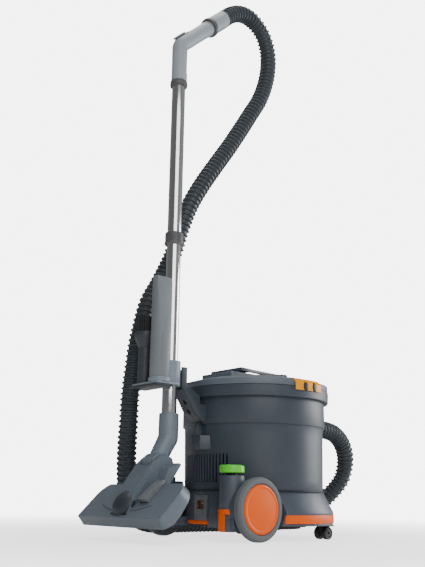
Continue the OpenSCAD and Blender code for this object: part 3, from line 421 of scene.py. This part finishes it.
# ---- rear wheels ----
# A grey solid tyre with rounded shoulders is pressed on a disc hub, whose shallow
# dish is moulded in orange. Both turn on a steel axle.
tyre_rubber = moulded("tyre_rubber", paint(98, 103, 107), rough=0.58, fineness=2600, relief=0.25, rub_and_highlight=0.15,
                      dust=0.18, reach=0.05, specular=0.35)
tyre_profile = [(49.2, 12.6), (49.2, 17.4, 0.6), (51.4, 18.9, 1.4), (58.8, 18.6, 3), (63, 14.6, 3.5), (63, 4, 3),
                (60.4, 0.2, 1.5), (39.2, 0.2, 0.5), (39.2, 12.6)]
hub_profile = [(0, 20.7), (30, 20.2), (40, 18.9, 8), (44.6, 20.0, 2.5), (48.4, 18.0, 1.6), (48.4, 12.8, 0.4),
               (38.6, 12.8, 0.3), (38.6, 0.4, 0.6), (14, 0.4, 0.5), (14, -3.4, 0.5), (0, -3.4)]
for side, far in (("right", 1), ("left", -1)):
    low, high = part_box(f"tyre_{side}")
    inner_face = high.y if far == 1 else low.y
    centre = Vector(((low.x + high.x) / 2, inner_face, (low.z + high.z) / 2))
    outward = Matrix.Rotation(math.radians(90 * far), 4, "X")
    finished(turned(tyre_profile, centre, outward, hoop=True, steps=128), f"tyre_ring_{side}", f"wheel_{side}",
             tyre_rubber, [f"tyre_{side}"])
    finished(turned(hub_profile, centre, outward, steps=128), f"hub_disc_{side}", f"wheel_{side}", orange_plastic,
             [f"hub_{side}"])

# ---- front casters ----
# Twin-wheel casters of black plastic. Each swivels on a stem in the chassis.
for side in ("right", "left"):
    finished(solid_of(f"caster_hood_{side}", 0.0008), f"caster_yoke_{side}", f"caster_{side}", black_plastic,
             [f"caster_hood_{side}"])
    low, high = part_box(f"caster_wheels_{side}")
    centre = (low + high) / 2
    outward = Matrix.Rotation(math.radians(-90), 4, "X")
    twin = turned([(0, -10), (3, -10), (3, -16.2, 0.4), (8, -16.2, 1), (9, -15, 1), (11.6, -16.6, 1), (13.5, -15.4, 2),
                   (13.5, -6, 2), (12, -4.6, 1), (3, -4.6), (3, 4.6), (12, 4.6, 1), (13.5, 6, 2), (13.5, 15.4, 2),
                   (11.6, 16.6, 1), (9, 15, 1), (8, 16.2, 1), (3, 16.2, 0.4), (3, 10), (0, 10)],
                  centre, outward, steps=48)
    finished(twin, f"caster_twin_{side}", f"caster_wheels_{side}", black_plastic,
             [f"caster_wheels_{side}"])

# ---- lid, carry handle and latches ----
# A domed lid with a finger well and a folding carry handle. Two amber latches
# hook over the rim, each with two dark spring windows.
lid_plastic = moulded("lid_plastic", paint(96, 105, 116), rough=0.44)
finished(solid_of("lid", 0.0012, flat=0.02), "lid_dome", "lid", lid_plastic, ["lid"])
finished(turned([(170, 319.9), (174.1, 319.9, 0.3), (174.1, 321.2, 0.3), (170, 321.2)], drum_axis, hoop=True,
                steps=144), "lid_edge_lip", "lid", black_plastic)
for k, (low, high) in enumerate((((-0.118, -0.050, 0.338), (-0.1055, 0.050, 0.3575)),
                                 ((-0.112, -0.050, 0.338), (-0.030, -0.0325, 0.3575)),
                                 ((-0.112, 0.0325, 0.338), (-0.030, 0.050, 0.3575)))):
    rest = block(drum_axis + Vector(low), drum_axis + Vector(high), 0.002)
    finished(rest, f"handle_rest_{k + 1}", "lid", lid_plastic)
finished(solid_of("carry_handle", 0.0016), "carry_handle_bar", "carry_handle", drum_plastic,
         ["carry_handle"])
amber_plastic = moulded("amber_plastic", paint(255, 165, 2), rough=0.34, rub_and_highlight=0.05, specular=0.25)
for side, far in (("right", 1), ("left", -1)):
    finished(solid_of(f"latch_{side}", 0.0008), f"latch_bow_{side}", f"latch_{side}", amber_plastic,
             [f"latch_{side}"])
    for k, swing in enumerate((-4.6, 4.6)):
        window = block((-0.0064, 0.1705, 0.3125), (0.0064, 0.1796, 0.3275), 0.0026)
        bmesh.ops.rotate(window, verts=window.verts, matrix=Matrix.Rotation(math.radians(swing), 3, "Z"))
        if far == 1:
            bmesh.ops.rotate(window, verts=window.verts, matrix=Matrix.Rotation(math.pi, 3, "Z"))
        bmesh.ops.translate(window, verts=window.verts, vec=drum_axis)
        finished(window, f"latch_window_{side}_{k + 1}", f"latch_{side}", black_plastic)

# ---- chrome tubes, joint collar and its button ----
# Two chromed steel tubes, one pushed into the other. A ribbed plastic collar
# covers the joint, and a steel snap button locks it.
chrome = metal("chrome", paint(238, 239, 240), 0.12, along=3.0, around=400.0, relief=0.0)
steel = metal("steel", paint(190, 191, 193), 0.28)
ring_plastic = moulded("ring_plastic", paint(84, 84, 86), rough=0.4)
wand_low, wand_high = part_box("lower_tube")
wand_axis = Vector(((wand_low.x + wand_high.x) / 2, 0, 0))
joint = wand_high.z * 1000
tube_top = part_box("upper_tube")[1].z * 1000
finished(turned([(14.6, 207, 0.3), (16, 207, 0.5), (16, joint, 0.3), (14.6, joint, 0.3)], wand_axis, hoop=True),
         "chrome_tube_lower", "wand", chrome, ["lower_tube"])
finished(turned([(14.4, joint - 40), (14.4, joint), (16, joint + 0.1, 0.4), (16, tube_top, 0.4), (13, tube_top),
                 (13, joint - 40)], wand_axis, hoop=True),
         "chrome_tube_upper", "wand", chrome, ["upper_tube"])
collar = [(16.05, joint - 13), (21.8, joint - 13, 0.8), (22, joint - 10, 0.8), (20.8, joint - 9, 0.4)]
for rise in range(-6, 10, 3):
    collar += [(20.9, joint + rise - 0.6, 0.3), (20.2, joint + rise, 0.4), (20.9, joint + rise + 0.6, 0.3)]
collar += [(20.8, joint + 14, 1.2), (16.05, joint + 14)]
finished(turned(collar, wand_axis, hoop=True), "joint_collar", "wand", ring_plastic, ["tube_collar"])
snap = turned([(0, 18.2), (2.2, 18.0, 1), (3.4, 16.6, 0.6), (3.4, 11.6), (0, 11.6)],
              wand_axis + Vector((0, 0, joint / 1000 - 0.025)), along_x, steps=32)
finished(snap, "snap_button", "tube_button", steel, ["tube_button"])

# ---- bent handle ----
# The handle is a light grey tube that is bent forward, with a dark socket ring
# below, a release button, and a suction slider on its bend.


def piped(stations, turn, segments=64):
    """A closed pipe through (centre, lean from upright, radius across, radius aside) stations."""
    bm = bmesh.new()
    last = None
    for centre, lean, across_r, aside_r in stations:
        place = (Matrix.Translation(centre) @ Matrix.Rotation(lean, 4, "Y")
                 @ Matrix.Diagonal((across_r, aside_r, 1, 1)))
        new = bmesh.ops.create_circle(bm, cap_ends=False, radius=1.0, segments=segments, matrix=place)["verts"]
        loop = list({e for v in new for e in v.link_edges})
        if last:
            bmesh.ops.bridge_loops(bm, edges=last + loop)
        last = loop
    bmesh.ops.holes_fill(bm, edges=[e for e in bm.edges if e.is_boundary], sides=0)
    bmesh.ops.recalc_face_normals(bm, faces=bm.faces)
    bm.transform(turn)
    return bm


handle_plastic = moulded("handle_plastic", paint(148, 157, 164), rough=0.42, rub_and_highlight=0.15)
bend = wand_axis + Vector((0, 0, 1.152))
grip_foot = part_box("handle_grip")[0].z
lean = math.pi / 2 - grip_slope
elbow = 0.024
tangent = elbow * math.tan(lean / 2)
slope = Vector((math.sin(lean), 0, math.cos(lean)))
stations = [(Vector((bend.x, 0, grip_foot + rise)), 0, r, r) for rise, r in
            ((0, 0.0180), (0.0008, 0.0185), (0.030, 0.0185))]
for s in range(9):
    turn_by = lean * s / 8
    stations.append((Vector((bend.x + elbow * (1 - math.cos(turn_by)), 0,
                             bend.z - tangent + elbow * math.sin(turn_by))), turn_by, 0.0190, 0.0188))
for reach, r in ((0.040, 0.0188), (0.075, 0.0187), (0.110, 0.0190), (0.1292, 0.0191), (0.130, 0.0186)):
    stations.append((bend + slope * reach, lean, r, r))
finished(piped(stations, Matrix()), "handle_tube", "wand", handle_plastic, ["handle_grip"])
finished(turned([(16.05, 1037.2), (17.2, 1037.4, 0.5), (18.4, 1039, 0.4), (20.6, 1037, 1.0), (21.2, 1041, 1.5),
                 (20.6, 1049.6, 1.2), (16.05, 1049.9)], wand_axis, hoop=True),
         "handle_socket_ring", "wand", ring_plastic, ["handle_ring"])
finished(solid_of("handle_button", 0.0008), "handle_release", "handle_button", handle_plastic,
         ["handle_button"])
finished(solid_of("suction_slider", 0.001), "suction_slide", "suction_slider", handle_plastic,
         ["suction_slider"])
up_slope = Matrix.Translation(bend) @ Matrix.Rotation(-grip_slope, 4, "Y")
bed = block((0.003, -0.0072, 0.0165), (0.048, 0.0072, 0.0194), 0.0006)
bed.transform(up_slope)
finished(bed, "slider_bed", "wand", black_plastic)

# ---- swivel cuff of the hose ----
# A dark flange and a light sleeve that the hose end is glued into. They turn on
# the end of the handle, so that the hose doesn't twist.
up_cuff = Matrix.Rotation(lean, 4, "Y")
finished(turned([(14, 130.5), (22.4, 130.5, 0.5), (25, 132.0, 1.8), (25, 139.5, 1.8), (22.6, 142, 0.8), (14, 142)],
                bend, up_cuff, hoop=True), "cuff_flange", "hose_cuff", ring_plastic)
finished(turned([(14.4, 106), (14.4, 142), (22.0, 142.1, 0.5), (22.6, 150, 2), (22.6, 199.5, 1.5), (21.6, 202, 0.6),
                 (12, 202), (12, 106)], bend, up_cuff, hoop=True),
         "cuff_sleeve", "hose_cuff", handle_plastic, ["hose_cuff"])

# ---- tool holder, crevice tool and dusting brush ----
# A clip on the lower tube with a floor and two spigots. The flat crevice tool
# and the round brush are pushed down over the spigots.
holder_plastic = moulded("holder_plastic", paint(128, 139, 150), rough=0.42)
crevice_plastic = moulded("crevice_plastic", paint(116, 123, 129), rough=0.46)
brush_plastic = moulded("brush_plastic", paint(58, 63, 69), rough=0.44)
bristle_fibre = moulded("bristle_fibre", paint(30, 32, 35), rough=0.6, fineness=3000, rub_and_highlight=0.0)
finished(solid_of("tool_holder", 0.0008), "tool_clip", "wand", holder_plastic, ["tool_holder"])
finished(solid_of("crevice_tool", 0.0012), "crevice_nozzle", "crevice_tool", crevice_plastic,
         ["crevice_tool"])
low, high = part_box("crevice_tool")
crevice_axis = Vector(((low.x + high.x) / 2, (low.y + high.y) / 2, 0))
finished(turned([(21.7, 316.2), (23.6, 316.2, 0.6), (23.6, 325, 1.2), (21.7, 325.6)], crevice_axis, hoop=True),
         "crevice_socket_ring", "wand", holder_plastic)
# A dark plate under the clip's floor: painted shade, a dark band where the light doesn't reach under the holder.
finished(block((crevice_axis.x - 0.0235, -0.034, 0.3065), (crevice_axis.x + 0.021, 0.064, 0.3118), 0.002),
         "tool_clip_shade_pad", "wand", dark_plastic)
low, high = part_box("brush_body")
brush_axis = Vector(((low.x + high.x) / 2, (low.y + high.y) / 2, 0))
foot, head_top = low.z * 1000, high.z * 1000
finished(turned([(11.2, foot), (15.5, foot, 1), (15.5, foot + 40, 1), (15.1, foot + 42, 0.5), (15.5, foot + 44, 1),
                 (15.5, foot + 80, 6), (24, foot + 100, 6), (25, foot + 106, 1.5), (25, head_top - 0.2, 1.2),
                 (22.2, head_top, 0.6), (18, head_top - 3.8), (11.2, head_top - 3.8)], brush_axis, hoop=True),
         "brush_horn", "dusting_brush", brush_plastic, ["brush_body"])
tufts = bmesh.new()
shuffled = random.Random(5)
for ring_r, count in ((0.0187, 34), (0.0202, 40), (0.0216, 44)):
    for k in range(count):
        spin_by = 2 * math.pi * (k + shuffled.uniform(-0.25, 0.25)) / count
        splay = 0.06 + shuffled.uniform(-0.05, 0.09)
        rise = 0.0365 + shuffled.uniform(-0.002, 0.001)
        place = (Matrix.Translation(brush_axis + Vector((0, 0, head_top / 1000 - 0.004)))
                 @ Matrix.Rotation(spin_by, 4, "Z") @ Matrix.Translation((ring_r, 0, 0))
                 @ Matrix.Rotation(splay, 4, "Y") @ Matrix.Translation((0, 0, rise / 2)))
        bmesh.ops.create_cone(tufts, cap_ends=True, segments=6, radius1=0.0011, radius2=0.0016, depth=rise,
                              matrix=place)
finished(tufts, "brush_tufts", "dusting_brush", bristle_fibre, ["brush_bristles"])

# ---- neck of the floor tool ----
# A socket for the wand that bends back to a trunnion, on which it tips in the
# housing of the floor tool.
tool_plastic = moulded("tool_plastic", paint(98, 108, 119), rough=0.42, dust=0.06, reach=0.09)
neck_plastic = moulded("neck_plastic", paint(114, 125, 136), rough=0.4)
neck_top, neck_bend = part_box("tool_neck")[1].z, 0.204
low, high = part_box("neck_pin")
pivot = (low + high) / 2
pivot.y = 0
neck_lean = math.atan2(wand_axis.x - pivot.x, neck_bend - pivot.z)
down = Vector((-math.sin(neck_lean), 0, -math.cos(neck_lean)))
corner = Vector((wand_axis.x, 0, neck_bend))
stations = [(Vector((wand_axis.x, 0, neck_top - drop)), 0, r, r) for drop, r in
            ((0.0, 0.0198), (0.0004, 0.0204), (0.0014, 0.021), (0.030, 0.0212), (0.0455, 0.0212))]
for s in range(1, 6):
    turn_by = neck_lean * s / 5
    bow = 0.016
    entry = bow * math.tan(neck_lean / 2)
    stations.append((Vector((corner.x - bow * (1 - math.cos(turn_by)), 0, corner.z + entry - bow * math.sin(turn_by))),
                     turn_by, 0.0214, 0.0212))
for run, r in ((0.020, 0.0206), (0.040, 0.0200), (0.058, 0.0192)):
    stations.append((corner + down * run, neck_lean, r, min(r, 0.0195)))
finished(piped(stations, Matrix()), "neck_tube", "wand", neck_plastic, ["tool_neck"])
finished(turned([(0, -19), (20.4, -19, 0.8), (20.9, -18, 0.8), (20.9, 18, 0.8), (20.4, 19, 0.8), (0, 19)], pivot,
                Matrix.Rotation(math.radians(-90), 4, "X")),
         "neck_trunnion", "wand", neck_plastic)

# ---- floor tool ----
# A wide nozzle with a bevelled top, a humped housing over its air way, a rocking
# pedal that drops the brush strips, and a bright steel sole.
tilt = math.radians(54)
on_head = Matrix.Translation(pivot) @ Matrix.Rotation(-tilt, 4, "Y") @ Matrix.Translation((-0.096, 0, -0.025))
finished(solid_of("nozzle_base", 0.0045, steps=4), "nozzle_shell", "floor_head", tool_plastic,
         ["nozzle_base"])
hump = solid_of("nozzle_housing", 0.0025, steps=3)
for v in hump.verts:
    place = on_head.inverted() @ v.co
    if place.x < -0.02 and place.z > 0.03:
        place.z -= 0.010 * min(1.0, (place.z - 0.03) / 0.008)
        v.co = on_head @ place
finished(hump, "nozzle_hump", "floor_head", tool_plastic, ["nozzle_housing"])
nose = bmesh.new()
bmesh.ops.create_uvsphere(nose, u_segments=48, v_segments=24, radius=1.0,
                          matrix=on_head @ Matrix.Translation((-0.010, 0, 0.036)) @ Matrix.Diagonal((0.028, 0.029, 0.018, 1)))
finished(nose, "nozzle_nose", "floor_head", dark_plastic)
groove = turned([(199.3, -4), (200.7, -4), (200.7, 0.25, 0.2), (199.3, 0.25, 0.2)], (0, 0, 0), hoop=True, steps=48,
                part=math.radians(50))
bmesh.ops.holes_fill(groove, edges=[e for e in groove.edges if e.is_boundary], sides=0)
bmesh.ops.rotate(groove, verts=groove.verts, matrix=Matrix.Rotation(math.radians(155), 3, "Z"))
bmesh.ops.translate(groove, verts=groove.verts, vec=(0.172, 0, 0))
fall = (0.022 - 0.038) / 0.091
for v in groove.verts:
    v.co.z += 0.038 + fall * (v.co.x + 0.043)
groove.transform(on_head)
bmesh.ops.recalc_face_normals(groove, faces=groove.faces)
finished(groove, "nozzle_groove", "floor_head", black_plastic)
finished(solid_of("sole_plate", 0.0003), "sole_face", "floor_head", steel, ["sole_plate"])
finished(solid_of("sole_brush", 0.0004), "sole_strips", "sole_brush", bristle_fibre, ["sole_brush"])
pedal_plastic = moulded("pedal_plastic", paint(110, 115, 118), rough=0.25, coat=0.4)
finished(solid_of("pedal", 0.0012), "rocker_pedal", "pedal", pedal_plastic, ["pedal"])

# ---- hidden and small pieces ----
# Fasteners, the axle and pins, and the motor, filter and bag inside the drum,
# which show only when the lid is off.
felt = moulded("felt", paint(226, 226, 220), rough=0.9, fineness=900, relief=0.6, rub_and_highlight=0.0)
paper = moulded("paper", paint(196, 168, 128), rough=0.85, fineness=500, relief=0.5, rub_and_highlight=0.0)
seal_rubber = moulded("seal_rubber", paint(36, 37, 39), rough=0.7, rub_and_highlight=0.0)
brass = metal("brass", paint(214, 176, 104), 0.25)
cast_metal = metal("cast_metal", paint(170, 171, 173), 0.45, along=400.0, around=400.0, relief=0.1)
for nodes, material in (
        (("chassis_screws", "rear_axle", "neck_pin"), steel), (("mains_pins",), brass),
        (("motor_body", "impeller"), cast_metal), (("motor_housing", "filter_plate"), dark_plastic),
        (("motor_filter",), felt), (("dust_bag", "bag_collar"), paper), (("lid_seal",), seal_rubber)):
    for node in nodes:
        for k in range(len(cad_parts[node].material_slots)):
            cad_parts[node].material_slots[k].material = material

# ---- floor and studio light ----
# A pale floor that fades into the light around it, one broad lamp from the front
# on the near side, and a weaker one from behind the wand.
floor = bpy.data.objects.new("floor", bpy.data.meshes.new("floor"))
sweep = bmesh.new()
bmesh.ops.create_circle(sweep, cap_ends=True, radius=30, segments=64)
sweep.to_mesh(floor.data)
sweep.free()
bpy.context.scene.collection.objects.link(floor)
pale = bpy.data.materials.new("pale_floor")
pale.use_nodes = True
tree = pale.node_tree
shader = tree.nodes["Principled BSDF"]
shader.inputs["Roughness"].default_value = 0.75
shader.inputs["Specular IOR Level"].default_value = 0.1
shader.inputs["Base Color"].default_value = (0.93, 0.93, 0.93, 1)
distance = put(tree, "VectorMath", {0: put(tree, "TexCoord").outputs["Object"]}, operation="LENGTH").outputs["Value"]
fade = put(tree, "MapRange", {"Value": distance, "From Min": 0.3, "From Max": 2.4, "To Min": 0.3},
           interpolation_type="SMOOTHSTEP").outputs["Result"]
camera_only = put(tree, "Math", {0: put(tree, "LightPath").outputs["Is Camera Ray"], 1: 5.2, 2: 0.8}, operation="MULTIPLY_ADD")
glow = put(tree, "Emission", {"Color": (1, 1, 1, 1), "Strength": camera_only.outputs[0]})
mixed = put(tree, "MixShader", {0: fade, 1: shader.outputs[0], 2: glow.outputs[0]})
tree.links.new(mixed.outputs[0], tree.nodes["Material Output"].inputs["Surface"])
floor.data.materials.append(pale)

studio = bpy.data.worlds.new("studio")
studio.use_nodes = True
bpy.context.scene.world = studio
tree = studio.node_tree
seen = tree.nodes["Background"]
seen.inputs["Color"].default_value = (1, 1, 1, 1)
seen.inputs["Strength"].default_value = 6.0
heading = put(tree, "SeparateXYZ", {0: put(tree, "TexCoord").outputs["Generated"]})
brightness = put(tree, "MapRange", {"Value": heading.outputs["X"], "From Min": -1.0, "From Max": 1.0,
                                    "To Min": 0.12, "To Max": 0.3})
ambient = put(tree, "Background", {"Color": (0.97, 0.985, 1.0, 1), "Strength": brightness.outputs["Result"]})
to_camera = put(tree, "LightPath").outputs["Is Camera Ray"]
both = put(tree, "MixShader", {0: to_camera, 1: ambient.outputs[0], 2: seen.outputs[0]})
tree.links.new(both.outputs[0], tree.nodes["World Output"].inputs["Surface"])
for name, place, size, power in (("front", (-1.2, -2.4, 1.5), 2.2, 42), ("side", (2.2, -0.9, 0.8), 1.3, 42),
                                 ("top", (0.2, 0.3, 3.0), 2.0, 45)):
    lamp = bpy.data.objects.new(name, bpy.data.lights.new(name, "AREA"))
    lamp.data.size = size
    lamp.data.energy = power
    lamp.location = place
    lamp.rotation_euler = (Vector((0.0, 0.0, 0.35)) - Vector(place)).to_track_quat("-Z", "Y").to_euler()
    bpy.context.scene.collection.objects.link(lamp)
